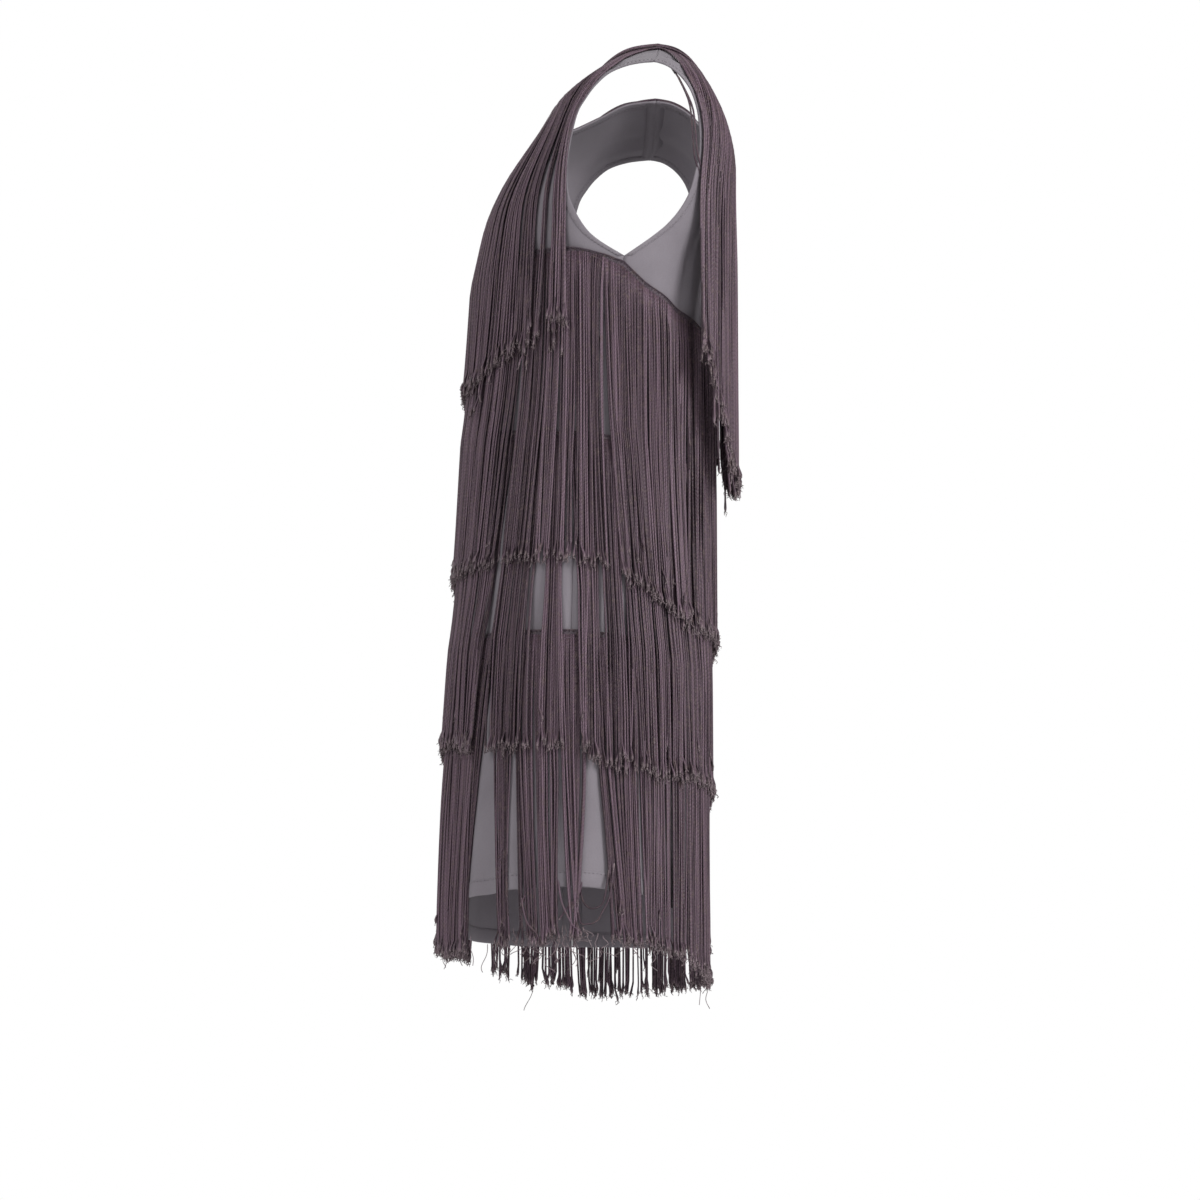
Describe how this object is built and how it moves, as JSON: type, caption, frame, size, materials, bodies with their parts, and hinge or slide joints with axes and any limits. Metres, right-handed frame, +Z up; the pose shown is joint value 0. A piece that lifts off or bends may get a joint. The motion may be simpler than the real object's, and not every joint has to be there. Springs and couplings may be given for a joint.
{
  "type": "fringed mini dress",
  "caption": "Sleeveless shift mini dress in its worn, hollow shape, with tiers of long hanging yarn fringe from neck to hem.",
  "frame": {"origin": "midway between the two shoulders, at the height where the straps rest on them", "axes": "+Z up, -Y the front of the dress, +X the wearer's left"},
  "size_m": [0.4215, 0.2842, 0.8942],
  "materials": {
    "dress_cloth": "smooth fine jersey, mauve grey, soft low sheen",
    "fringe_yarn": "twisted viscose yarn fringe, aubergine grey, faint silky sheen, frayed tips"
  },
  "bodies": {
    "root": {"front_panel": "dress_cloth", "back_panel": "dress_cloth", "neck_fringe_front": "fringe_yarn", "neck_fringe_back": "fringe_yarn", "bust_fringe_front": "fringe_yarn", "bust_fringe_back": "fringe_yarn", "waist_fringe_front": "fringe_yarn", "waist_fringe_back": "fringe_yarn", "hip_fringe_front": "fringe_yarn", "hip_fringe_back": "fringe_yarn"}
  },
  "joints": []
}
